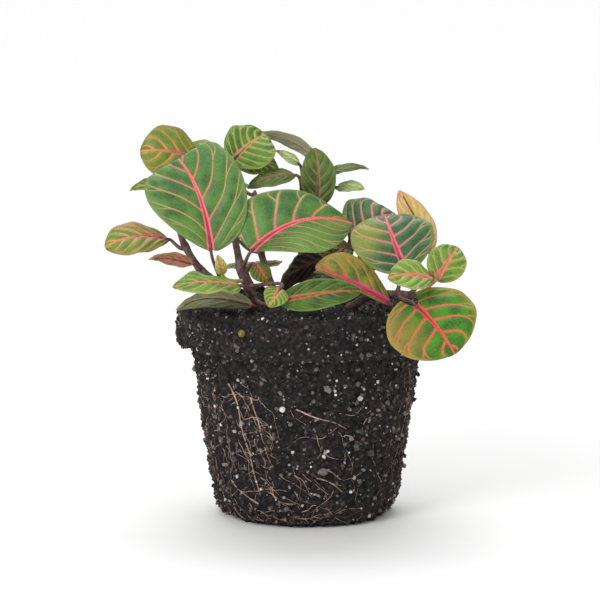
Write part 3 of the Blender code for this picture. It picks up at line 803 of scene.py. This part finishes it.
LEAF_GROUP = leaf_group()
SPECKLE_GROUP = speckle_group()
SKIN_MATERIALS = {
    name: leaf_material(f"leaf_{name}", colours, raised=-0.5, net=0.28)
    for name, colours in SKINS.items()
}
BACK_MATERIALS = {
    name: leaf_material(f"underside_{name}", colours, raised=0.8, net=0.4)
    for name, colours in BACKS.items()
}
STALK_MATERIALS = {
    name: speckled_material(f"stalk_{name}", *pair, scale=420.0, roughness=0.55, depth=0.15 * MM)
    for name, pair in STALKS.items()
}


# --- Leaves ---

def leaf_chord(leaf):
    return from_crown(leaf.tip) - from_crown(leaf.base)


def leaf_length(leaf):
    return np.linalg.norm(leaf_chord(leaf))


def blade_frame(leaf):
    """Base, chord, the way the face looks and the sideways direction, in metres."""
    base, chord = from_crown(leaf.base), leaf_chord(leaf)
    face = np.array(leaf.face, float)
    face = unit(face - chord * face.dot(chord) / chord.dot(chord))
    return base, chord, face, unit(np.cross(chord, face))


def blade_centre(leaf, u):
    """The midrib's line, as a point for each u."""
    base, chord, face, side = blade_frame(leaf)
    length = leaf_length(leaf)
    u = np.asarray(u, float)[..., None]
    hump = 4 * u * (1 - u) * length
    droop = np.clip((u - 0.55) / 0.45, 0, None) ** 2 * length
    return base + chord * u + face * (leaf.arch * hump - TIP_CURL * droop) + side * (leaf.bend * hump)


def blade_axes(leaf, u):
    """Directions across the blade and out of its face, for each u."""
    step = 1e-3
    _, _, face, _ = blade_frame(leaf)
    ahead = unit(blade_centre(leaf, u + step) - blade_centre(leaf, u - step))
    across = unit(np.cross(ahead, np.broadcast_to(face, ahead.shape)))
    return across, np.cross(across, ahead)


def blade_reach(leaf, u, v):
    """From the midrib to the margin on the side of v. A pair of outlines gives each side its own."""
    names = (leaf.outline, leaf.outline) if isinstance(leaf.outline, str) else leaf.outline
    halves = []
    for name, share in zip(names, (leaf.left, leaf.right)):
        rise, fall = OUTLINES[name]
        peak = rise / (rise + fall)
        shape = u ** rise * (1 - u) ** fall / (peak ** rise * (1 - peak) ** fall)
        halves.append(shape * share * leaf.width * MM / 2)
    return np.where(v < 0, *halves)


def vein_count(leaf, u, v, seed):
    """How many side veins lie between the base and here. A vein runs where it is a half.
    A slow and a quick drift, which grow towards the margin, keep the veins from running alike."""
    out = np.abs(v)
    start = u - np.where(v < 0, *leaf.rise) * out - np.where(v < 0, *leaf.sweep) * out ** 3
    drift = 0.10 * np.sin(6.1 * v + seed) + 0.07 * np.sin(13.0 * u + 5.0 * v + 2.3 * seed)
    return start * leaf.pairs + drift * out


def vein_gap(count, v, pitch):
    """Distance in millimetres to the nearest side vein or fork."""
    count = count + STAGGER * (v > 0)
    forked = count + FORK_SPREAD * ease(FORK_START, 1.0, np.abs(v))
    return np.minimum(np.abs(count % 1 - 0.5), np.abs(forked % 1 - 0.5)) * pitch


def blade_relief(leaf, u, v, across_mm, gap, pitch):
    """How far the face stands out: sunk at the veins and puffed up between them."""
    out = np.abs(v)
    grooves = VEIN_DEPTH * np.exp(-((gap / VEIN_GROOVE_HALF) ** 2)) * (1 - ease(0.85, 1.0, out))
    rib_half = RIB_GROOVE_HALF * (1 - 0.7 * u)
    ribs = RIB_DEPTH * (1 - 0.6 * u) * np.exp(-((across_mm / rib_half) ** 2))
    strip = np.clip(gap / (pitch / 2), 0, 1)
    puff = PUFF_HEIGHT * (0.5 - 0.5 * np.cos(np.pi * strip)) * ease(0.0, 0.18, out)
    puff = puff * (1 - ease(0.78, 1.0, out)) * ease(0.0, 0.10, u) * (1 - ease(0.88, 1.0, u))
    along_mm = u * leaf_length(leaf) / MM
    pucker = PUCKER_HEIGHT * np.sin(across_mm * 2.1 + 3.0 * u) * np.sin(along_mm * 1.9)
    return puff - grooves - ribs + pucker * ease(0.0, 0.2, out)



def fold_back(leaf, places):
    """Turns the part of a blade that lies beyond a straight line over to the back."""
    base, chord, face, side = blade_frame(leaf)
    lift = unit(chord)
    (a1, b1), (a2, b2), radius = leaf.tuck
    length = leaf_length(leaf)
    first, second = np.array((a1, b1)) * length, np.array((a2, b2)) * length
    seen = places - base
    flat = np.column_stack((seen @ lift, seen @ side))
    line = unit(second - first)
    outward = np.array((line[1], -line[0]))
    beyond = (flat - first) @ outward
    radius *= MM
    turned = np.clip(beyond, 0, math.pi * radius)
    past = np.clip(beyond - math.pi * radius, 0, None)
    pull = np.where(beyond > 0, radius * np.sin(turned / radius) - past - beyond, 0.0)
    drop = np.where(beyond > 0, -radius * (1 - np.cos(turned / radius)) * 0.9, 0.0)
    shift = (lift[None] * outward[0] + side[None] * outward[1]) * pull[:, None]
    return places + shift + face * drop[:, None]


def vein_pitch(leaf):
    """Millimetres between side veins."""
    return leaf_length(leaf) / MM / leaf.pairs * VEIN_SLANT


def blade_places(leaf, u, v, seed):
    """The face of a blade: u runs from base to tip, and v from one margin (-1) to the other (1)."""
    out = np.abs(v)
    chord = leaf_chord(leaf)
    width = blade_reach(leaf, u, v)
    across, normal = blade_axes(leaf, u)
    pitch = vein_pitch(leaf)
    gap = vein_gap(vein_count(leaf, u, v, seed), v, pitch)
    rise = leaf.fold * out + leaf.wave * out ** 2 * np.sin(RIPPLES * u + RIPPLE_LEAN * v)
    rise -= MARGIN_ROLL * out ** 4
    ripple = leaf.ruffle * MM * min(1.0, leaf.width / FULL_RUFFLE_WIDTH) * out ** 3
    ripple *= np.sin(MARGIN_WAVES * u + 4.0 * np.sign(v) + 1.7 * seed)
    ripple *= ease(0.0, 0.2, u) * (1 - ease(0.9, 1.0, u))
    relief = blade_relief(leaf, u, v, width * v / MM, gap, pitch)
    places = blade_centre(leaf, u) + across * (width * v)[:, None]
    places += normal * (width * rise + ripple + relief)[:, None]
    places -= chord * (leaf.lobe * out ** 2 * (1 - u) ** 4)[:, None]
    return fold_back(leaf, places) if leaf.tuck else places


def build_blade(name, leaf, seed):
    columns, rows = GRIDS[leaf.grid]
    deselect()
    bpy.ops.mesh.primitive_grid_add(x_subdivisions=columns, y_subdivisions=rows, size=2.0)
    blade = bpy.context.object
    blade.name = blade.data.name = f"fine_{name}"
    flat = vertex_places(blade)
    # Rows are closer together near the base and the tip, where the outline turns sharply
    share = (1 - np.cos(math.pi * (flat[:, 0] + 1) / 2)) / 2
    u = BASE_TRIM + share * (1 - BASE_TRIM - TIP_TRIM)
    v = -flat[:, 1]
    move_vertices(blade, blade_places(leaf, u, v, seed))

    width = blade_reach(leaf, u, v)
    along_mm = u * leaf_length(leaf) / MM + NET_OFFSET * seed
    paint_vectors(blade, "place", np.column_stack((width * v / MM, along_mm, v)))
    count = vein_count(leaf, u, v, seed)
    paint_vectors(blade, "vein", np.column_stack((u, count, np.full(len(u), vein_pitch(leaf)))))
    tint = np.zeros((len(u), 4))
    for at_u, at_v, reach, colour, strength in leaf.stains:
        near = strength * (1 - ease(0.35 * reach, reach, np.hypot(u - at_u, 0.5 * (v - at_v))))
        tint[:, :3] = np.where((near > tint[:, 3])[:, None], linear(colour)[:3], tint[:, :3])
        tint[:, 3] = np.maximum(tint[:, 3], near)
    made = blade.data.attributes.new("tint", "FLOAT_COLOR", "POINT")
    made.data.foreach_set("color", tint.ravel())

    blade.data.materials.append(SKIN_MATERIALS[leaf.skin])
    blade.data.materials.append(BACK_MATERIALS[leaf.back])
    solid = blade.modifiers.new("Thickness", "SOLIDIFY")
    solid.thickness = BLADE_THICKNESS
    solid.offset = -1.0
    solid.material_offset = 1
    apply_modifiers(blade)
    bpy.ops.object.shade_smooth()
    return blade


def build_bud():
    blades = [
        build_blade(f"bud_leaf_{i}", leaf, BUD_SEED + i) for i, leaf in enumerate(BUD_LEAVES)
    ]
    shape = lump(facets=12, roughness=0.03, seed=60)
    heart = lump_in_box("bud_heart", "bud_right", shape, np.random.default_rng(61),
                        STALK_MATERIALS["pink"], sink=0.5, flatness=0.6)
    select_only(blades[0], *blades[1:], heart)
    bpy.ops.object.join()
    finish_piece(blades[0], "bud_right", slot="leaf_lime")


def build_leaf(name, leaf, stems, seed):
    blade = build_blade(name, leaf, seed)
    line, radii = stalk_line(leaf, stems)
    stalk = tubes(f"{name}_stalk", [(line, radii)])
    stalk.data.materials.append(STALK_MATERIALS[leaf.stalk])
    select_only(blade, stalk)
    bpy.ops.object.join()
    finish_piece(blade, name, slot=SLOTS.get(leaf.skin, "leaf"))


def stem_radius(share):
    return STEM_FOOT_RADIUS + (STEM_TIP_RADIUS - STEM_FOOT_RADIUS) * share


def stalk_line(leaf, stems):
    """From inside the stem to the blade's base, and on under the blade as its midrib."""
    base, chord, face, side = blade_frame(leaf)
    length = leaf_length(leaf)
    start, climb = along(stems[f"stem_{leaf.stem}"], leaf.share)
    outward = base - start
    outward = unit(outward - climb * outward.dot(climb))
    foot = start + outward * stem_radius(leaf.share) * 0.5
    into = unit(chord + face * (4 * leaf.arch * length) + side * (4 * leaf.bend * length))
    reach = np.linalg.norm(base - foot)
    first = foot + outward * reach * STALK_LEAVES_STEM
    last = base - into * reach * STALK_MEETS_BLADE
    t = np.linspace(0, 1, STALK_RINGS)[:-1, None]
    stalk = foot * (1 - t) ** 3 + first * 3 * t * (1 - t) ** 2 + last * 3 * t ** 2 * (1 - t) + base * t ** 3
    u = np.linspace(0.0, RIB_END, RIB_RINGS)
    _, normal = blade_axes(leaf, np.maximum(u, 0.01))
    rib_radii = STALK_NECK_RADIUS + (RIB_TIP_RADIUS - STALK_NECK_RADIUS) * u ** 0.7
    depth = RIB_DEPTH * 0.5 + BLADE_THICKNESS * 0.6 + rib_radii * 0.55
    depth = depth * ease(0.0, 0.12, u) + 0.1 * MM
    rib = blade_centre(leaf, u) - normal * depth[:, None]
    stalk_radii = STALK_RADIUS + (STALK_NECK_RADIUS - STALK_RADIUS) * t[:, 0]
    stalk_radii = stalk_radii * (1 + FOOT_FLARE * np.exp(-((t[:, 0] / 0.08) ** 2)))
    return np.concatenate((stalk, rib)), np.concatenate((stalk_radii, rib_radii))


def build_stems():
    """Makes the stems, and returns each one's line for the leaves to grow from."""
    bark = speckled_material("stem_bark", (84, 60, 60), (124, 100, 92),
                             scale=380.0, roughness=0.6, depth=0.25 * MM)
    lines = {}
    for name, points in STEMS.items():
        lines[name] = line = smooth_line([from_crown(p) for p in points], 1.5 * MM)
        share = np.linspace(0, 1, len(line))
        flare = 1 + FOOT_FLARE * np.exp(-((share / 0.05) ** 2))
        radii = stem_radius(share) * flare * (1 - 0.6 * ease(0.95, 1.0, share))
        for leaf in LEAVES.values():
            if f"stem_{leaf.stem}" == name:
                radii = radii * (1 + JOINT_SWELLING * np.exp(-(((share - leaf.share) / 0.035) ** 2)))
        sunk = np.concatenate((line[:1] - np.array((0, 0, STEM_SINK)), line))
        stem = tubes(f"fine_{name}", [(sunk, np.concatenate((radii[:1], radii)))])
        finish_piece(stem, name, slot="stem", finish=bark)
    return lines


# --- Soil ---

def displace(obj, kind, size, strength):
    """Roughens a piece with one of Blender's own solid textures."""
    texture = bpy.data.textures.new(f"{kind.lower()}_{size / MM:.0f}", kind)
    texture.noise_scale = size
    modifier = obj.modifiers.new("Roughen", "DISPLACE")
    modifier.texture = texture
    modifier.texture_coords = "LOCAL"
    modifier.strength = strength
    modifier.mid_level = 0.5


def build_soil():
    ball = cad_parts["root_ball"]
    soil = ball.copy()
    soil.data = ball.data.copy()
    soil.name = soil.data.name = "peat_ball"
    soil.parent = None
    for key in list(soil.keys()):
        del soil[key]
    add_to_scene(soil)
    select_only(soil)
    bpy.ops.object.mode_set(mode="EDIT")
    bpy.ops.mesh.select_all(action="SELECT")
    bpy.ops.mesh.remove_doubles(threshold=0.01 * MM)
    bpy.ops.object.mode_set(mode="OBJECT")
    remesh = soil.modifiers.new("Crumb grid", "REMESH")
    remesh.mode = "VOXEL"
    remesh.voxel_size = SOIL_GRID
    for kind, size, strength in SOIL_ROUGHNESS:
        displace(soil, kind, size, strength)
    apply_modifiers(soil)
    places = vertex_places(soil)
    places[:, 2] = np.maximum(places[:, 2], BALL_LOW.z)
    move_vertices(soil, places)
    soil.data.materials.clear()
    bpy.ops.object.shade_smooth()
    finish_piece(soil, "root_ball", slot="soil", finish=soil_material())
    return soil


class SoilFace:
    """Finds the soil's rough face."""

    def __init__(self, soil):
        mesh = soil.data
        faces = [face.vertices for face in mesh.polygons]
        self.tree = BVHTree.FromPolygons([v.co for v in mesh.vertices], faces)

    def hit(self, start, way):
        """The point of the face that is met from the start, looking against the way out."""
        return np.array(self.tree.ray_cast(start, -way)[0]), np.array(way)

    def side(self, angle, height):
        """The point at an angle round the ball (0 faces -Y) and a height, and the way out of it."""
        way = Vector((math.sin(angle), -math.cos(angle), 0.0))
        return self.hit(way * (COLLAR_RADIUS * 2) + Vector((0.0, 0.0, height)), way)

    def top(self, angle, radius):
        start = Vector((math.sin(angle) * radius, -math.cos(angle) * radius, CROWN[2] * 2))
        return self.hit(start, Vector((0.0, 0.0, 1.0)))

    def anywhere(self, chance, top_share):
        angle = chance.uniform(-math.pi, math.pi)
        if chance.random() < top_share:
            return self.top(angle, COLLAR_RADIUS * 0.97 * math.sqrt(chance.random()))
        return self.side(angle, BALL_HEIGHT * chance.uniform(0.02, 0.97))


def lump(facets, roughness, seed):
    """One rough lump about a metre in radius, as its points and faces, to be copied."""
    deselect()
    bpy.ops.mesh.primitive_uv_sphere_add(segments=facets, ring_count=facets - 2, radius=1.0)
    obj = bpy.context.object
    chance = np.random.default_rng(seed)
    places = vertex_places(obj)
    places = places * (1 + chance.uniform(-roughness, roughness, (len(places), 1)))
    faces = [tuple(face.vertices) for face in obj.data.polygons]
    bpy.data.objects.remove(obj)
    return places, faces


def turned(chance):
    """A random turn in space."""
    w, x, y, z = unit(chance.normal(size=4))
    return np.array((
        (1 - 2 * (y * y + z * z), 2 * (x * y - z * w), 2 * (x * z + y * w)),
        (2 * (x * y + z * w), 1 - 2 * (x * x + z * z), 2 * (y * z - x * w)),
        (2 * (x * z - y * w), 2 * (y * z + x * w), 1 - 2 * (x * x + y * y)),
    ))


def scatter(name, lumps, spots, radii, chance, sink, flatness=0.7, smooth=True):
    """Copies of the lumps at the spots, in one mesh, sunk by a share of their radius."""
    points, faces, tones = [], [], []
    for (place, way), radius in zip(spots, radii):
        shape, shape_faces = lumps[chance.integers(len(lumps))]
        stretch = chance.uniform(flatness, 1.0, 3) * radius
        first = sum(len(part) for part in points)
        points.append((shape * stretch) @ turned(chance).T + place + way * radius * (1 - 2 * sink))
        faces.extend(tuple(first + i for i in face) for face in shape_faces)
        tones.append(np.full(len(shape), chance.random() ** 2))
    mesh = bpy.data.meshes.new(name)
    places = np.concatenate(points)
    places[:, 2] = np.maximum(places[:, 2], BALL_LOW.z + 0.02 * MM)
    mesh.from_pydata(places, [], faces)
    tone = mesh.attributes.new("tone", "FLOAT", "POINT")
    tone.data.foreach_set("value", np.concatenate(tones))
    obj = bpy.data.objects.new(name, mesh)
    add_to_scene(obj)
    select_only(obj)
    if smooth:
        bpy.ops.object.shade_smooth()
    return obj


def lump_in_box(name, node, shape, chance, finish, **looks):
    """One lump as tall as a CAD node and in its place, sunk towards the ball's axis."""
    low, high = (np.array(corner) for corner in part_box(node))
    place = (low + high) / 2
    made = scatter(name, [shape], [(place, unit(place * (1, 1, 0)))], [(high[2] - low[2]) / 2],
                   chance, **looks)
    made.data.materials.append(finish)
    return made


def build_crumbs(face):
    chance = np.random.default_rng(11)
    lumps = [lump(facets=6, roughness=0.34, seed=seed) for seed in range(5)]
    spots = [face.anywhere(chance, top_share=0.22) for _ in range(CRUMB_COUNT)]
    radii = CRUMB_RADIUS * chance.lognormal(0.0, 0.42, CRUMB_COUNT)
    crumbs = scatter("peat_crumbs", lumps, spots, np.minimum(radii, MOST_CRUMB_RADIUS),
                     chance, sink=0.42, flatness=0.4, smooth=False)
    peat = toned_material("peat_crumb", (12, 10, 12), (150, 138, 138),
                          roughness=0.75, grain=1600.0, depth=0.4 * MM)
    finish_piece(crumbs, slot="soil", finish=peat)


def build_perlite(face):
    """Small white grains all over, and the two large ones that the frame marks."""
    chance = np.random.default_rng(23)
    white = toned_material("perlite", (176, 170, 166), (250, 248, 246),
                           roughness=0.8, grain=900.0, depth=0.15 * MM)
    lumps = [lump(facets=6, roughness=0.34, seed=seed) for seed in range(30, 35)]
    spots = [face.anywhere(chance, top_share=0.08) for _ in range(PERLITE_COUNT)]
    radii = PERLITE_RADIUS * chance.lognormal(0.0, 0.6, PERLITE_COUNT)
    small = scatter("perlite_small", lumps, spots, np.minimum(radii, MOST_PERLITE_RADIUS),
                    chance, sink=0.45, flatness=0.45, smooth=False)
    finish_piece(small, slot="perlite", finish=white)
    for node in ("perlite_front", "perlite_right"):
        grain = lump_in_box(f"fine_{node}", node, lump(facets=9, roughness=0.12, seed=40), chance, white,
                            sink=0.62, smooth=False)
        finish_piece(grain, node, slot="perlite")


def build_prill():
    """The yellow coated pellet of plant food near the rim."""
    coat = speckled_material("pellet_coat", (150, 132, 52), (92, 78, 40),
                             scale=900.0, roughness=0.35, depth=0.1 * MM)
    pellet = lump_in_box("plant_food_pellet", "fertiliser_prill", lump(facets=20, roughness=0.03, seed=50),
                         np.random.default_rng(31), coat, sink=0.6, flatness=0.9)
    finish_piece(pellet, "fertiliser_prill", slot="prill")


def root_path(face, chance, angle, height, heading, length, wander):
    """A root that feels its way over the soil. Heading 0 runs down, 90 runs towards +angle."""
    step = 1.3 * MM
    points = []
    swing = 0.0
    phase = chance.uniform(0, 6.28)
    for i in range(max(4, int(length / step))):
        place, way = face.side(angle, min(max(height, 1.0 * MM), BALL_HEIGHT - 4 * MM))
        points.append(place + way * (0.25 + 0.22 * math.sin(0.9 * i + phase)) * MM)
        swing = 0.75 * swing + chance.normal(0.0, wander)
        turn = math.radians(heading) + swing
        radius = max(math.hypot(place[0], place[1]), 20 * MM)
        angle += math.sin(turn) * step / radius
        height -= math.cos(turn) * step
        if height < 0.8 * MM:
            break
    return eased(points)


def eased(points):
    """Takes the sharp steps out of a line that follows rough ground."""
    points = np.array(points)
    inner = (points[:-2] + 2 * points[1:-1] + points[2:]) / 4
    return np.concatenate((points[:1], inner, points[-1:]))


def tapered(points, radius):
    return points, radius * np.linspace(1.0, 0.45, len(points))


def wall_height(share):
    """A height on the tapered wall, from its foot (0) to the collar (1)."""
    return FOOT_CHAMFER + share * (BALL_HEIGHT - COLLAR_HEIGHT - COLLAR_STEP - FOOT_CHAMFER)


def build_roots(face):
    chance = np.random.default_rng(5)
    pale = speckled_material(
        "root_pale", (216, 190, 166), (164, 126, 108), scale=300.0, roughness=0.6, depth=0.1 * MM)
    rusty = speckled_material(
        "root_rusty", (150, 104, 88), (112, 76, 70), scale=300.0, roughness=0.65, depth=0.1 * MM)
    for node, route in ROOTS.items():
        rough = smooth_line([np.array((angle, wall_height(share) / MM)) for angle, share in route], 3.0)
        line = []
        for i, (angle, height) in enumerate(rough):
            angle += 0.7 * math.sin(1.9 * i)
            place, way = face.side(math.radians(angle), height * MM)
            line.append(place + way * 0.35 * MM)
        line = eased(eased(line))
        lines = [tapered(line, ROOT_RADIUS)]
        for i in range(2, len(rough) - 2, 3):
            angle, height = rough[i]
            heading = chance.choice((-1, 1)) * chance.uniform(25, 80)
            branch = root_path(face, chance, math.radians(angle), height * MM, heading,
                               chance.uniform(5, 13) * MM, BRANCH_WANDER)
            lines.append(tapered(branch, FINE_ROOT_RADIUS))
        root = tubes(f"fine_{node}", lines)
        finish = rusty if node == "root_right_edge" else pale
        finish_piece(root, node, slot="root", finish=finish)
    for name, finish, patches in (("roots_pale", pale, PALE_ROOTS), ("roots_rusty", rusty, RUSTY_ROOTS)):
        lines = []
        for angles, heights, headings, lengths, count in patches:
            for _ in range(count):
                path = root_path(face, chance, math.radians(chance.uniform(*angles)),
                                 chance.uniform(*heights) * MM, chance.uniform(*headings),
                                 chance.uniform(*lengths) * MM, WEB_WANDER)
                lines.append(tapered(path, FINE_ROOT_RADIUS * chance.uniform(0.6, 1.3)))
        web = tubes(name, lines, smoothness=0)
        finish_piece(web, slot="root", finish=finish)


def stage_floor():
    deselect()
    bpy.ops.mesh.primitive_plane_add(size=80.0, location=(0.0, 0.0, 0.0))
    floor = bpy.context.object
    floor.name = "floor"
    made, _, shader = new_material("pale_floor", 0.9, 0.2)
    shader.inputs["Base Color"].default_value = (0.98, 0.98, 0.98, 1.0)
    floor.data.materials.append(made)


def add_lamp(name, kind, energy, place, aim, **shape):
    data = bpy.data.lights.new(name, kind)
    data.energy = energy
    for key, value in shape.items():
        setattr(data, key, value)
    lamp = bpy.data.objects.new(name, data)
    lamp.location = place
    lamp.rotation_euler = (Vector(aim) - Vector(place)).to_track_quat("-Z", "Y").to_euler()
    add_to_scene(lamp)


def set_the_light():
    world = bpy.data.worlds.new("studio")
    world.use_nodes = True
    background = world.node_tree.nodes["Background"]
    background.inputs["Color"].default_value = (1.0, 1.0, 1.0, 1.0)
    background.inputs["Strength"].default_value = 0.62
    bpy.context.scene.world = world
    bpy.context.scene.view_settings.view_transform = "Standard"
    add_lamp("overhead", "SUN", 1.5, (0, 0, 0), (0.05, -0.75, -1.0), angle=math.radians(50.0))
    add_lamp("front_left", "AREA", 7.0, (-0.7, -1.0, 0.9), (0, 0, 0.11), shape="DISK", size=0.6)


def set_the_camera():
    elevation = math.radians(8.0)
    distance = 1200 * MM
    aim = Vector((-2.74 * MM, 0.0, 97.8 * MM))
    data = bpy.data.cameras.new("camera")
    data.sensor_width = 36.0
    data.lens = 157.5
    camera = bpy.data.objects.new("camera", data)
    away = Vector((0.0, -math.cos(elevation), math.sin(elevation)))
    camera.location = aim + away * distance
    camera.rotation_euler = (-away).to_track_quat("-Z", "Y").to_euler()
    add_to_scene(camera)
    bpy.context.scene.camera = camera


def main():
    face = SoilFace(build_soil())
    build_crumbs(face)
    build_perlite(face)
    build_prill()
    build_roots(face)
    stems = build_stems()
    for seed, (name, leaf) in enumerate(LEAVES.items()):
        build_leaf(name, leaf, stems, float(seed))
    build_bud()
    stage_floor()
    set_the_light()
    set_the_camera()


main()
